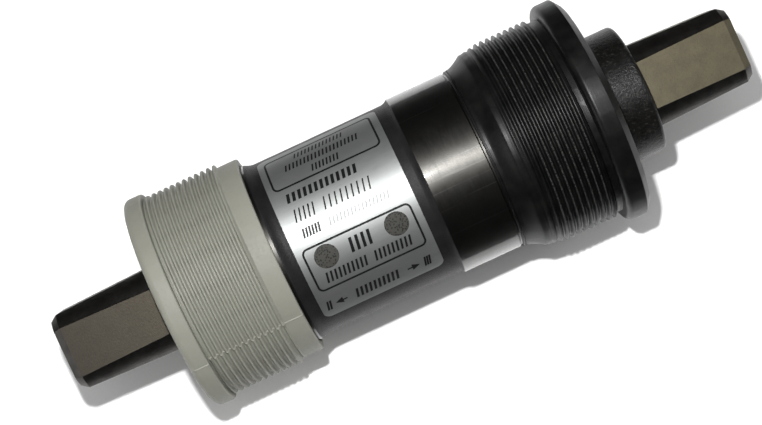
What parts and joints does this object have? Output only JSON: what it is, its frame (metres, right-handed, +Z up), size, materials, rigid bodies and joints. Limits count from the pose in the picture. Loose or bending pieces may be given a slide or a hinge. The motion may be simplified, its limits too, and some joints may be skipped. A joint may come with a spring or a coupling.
{
  "type": "bottom bracket",
  "caption": "Sealed cartridge bottom bracket for a bicycle: a square-taper spindle turning in a tubular cartridge, with a flanged threaded cup and a separate threaded adapter.",
  "frame": {"origin": "middle of the spindle, on the spindle's axis", "axes": "+X along the spindle to the drive side, +Z up, +Y completes a right-handed frame"},
  "size_m": [0.1174, 0.0376, 0.0376],
  "materials": {
    "spindle_steel": "heat-darkened forged steel, ground flats",
    "shell_steel": "dark drawn tube with a bright ground band",
    "cup_steel": "black, half gloss",
    "adapter_plastic": "warm grey, moulded, matt",
    "label_foil": "printed silver foil",
    "bearing_steel": "ground and polished",
    "cage_steel": "pressed sheet",
    "seal_rubber": "moulded, matt",
    "spacer_aluminium": "turned",
    "spring_steel": "oiled spring steel"
  },
  "bodies": {
    "cartridge": {"cartridge_shell": "shell_steel", "drive_side_cup": "cup_steel", "label_plate": "label_foil", "right_bearing_outer_race": "bearing_steel", "right_bearing_inboard_seal": "seal_rubber", "right_bearing_outboard_seal": "seal_rubber", "right_dust_seal": "seal_rubber", "left_bearing_outer_race": "bearing_steel", "left_bearing_inboard_seal": "seal_rubber", "left_bearing_outboard_seal": "seal_rubber", "left_dust_seal": "seal_rubber"},
    "spindle": {"spindle": "spindle_steel", "right_bearing_inner_race": "bearing_steel", "left_bearing_inner_race": "bearing_steel", "inner_race_spacer": "spacer_aluminium", "left_retaining_ring": "spring_steel"},
    "right_ball_set": {"right_bearing_balls": "bearing_steel", "right_bearing_cage": "cage_steel"},
    "left_ball_set": {"left_bearing_balls": "bearing_steel", "left_bearing_cage": "cage_steel"},
    "left_adapter": {"left_adapter": "adapter_plastic"}
  },
  "joints": [
    {"name": "spindle_spin", "type": "hinge", "parent": "cartridge", "child": "spindle", "pos_m": [0, 0, 0], "axis": [1, 0, 0], "continuous": true},
    {"name": "right_ball_orbit", "type": "hinge", "parent": "cartridge", "child": "right_ball_set", "pos_m": [0.023, 0, 0], "axis": [1, 0, 0], "continuous": true},
    {"name": "left_ball_orbit", "type": "hinge", "parent": "cartridge", "child": "left_ball_set", "pos_m": [-0.023, 0, 0], "axis": [1, 0, 0], "continuous": true},
    {"name": "left_adapter_slide", "type": "slide", "parent": "cartridge", "child": "left_adapter", "axis": [-1, 0, 0], "range_m": [-0.0008, 0.045]}
  ],
  "couplings": [
    {"joint": "right_ball_orbit", "follows": "spindle_spin", "ratio": 0.40977},
    {"joint": "left_ball_orbit", "follows": "spindle_spin", "ratio": 0.40977}
  ]
}
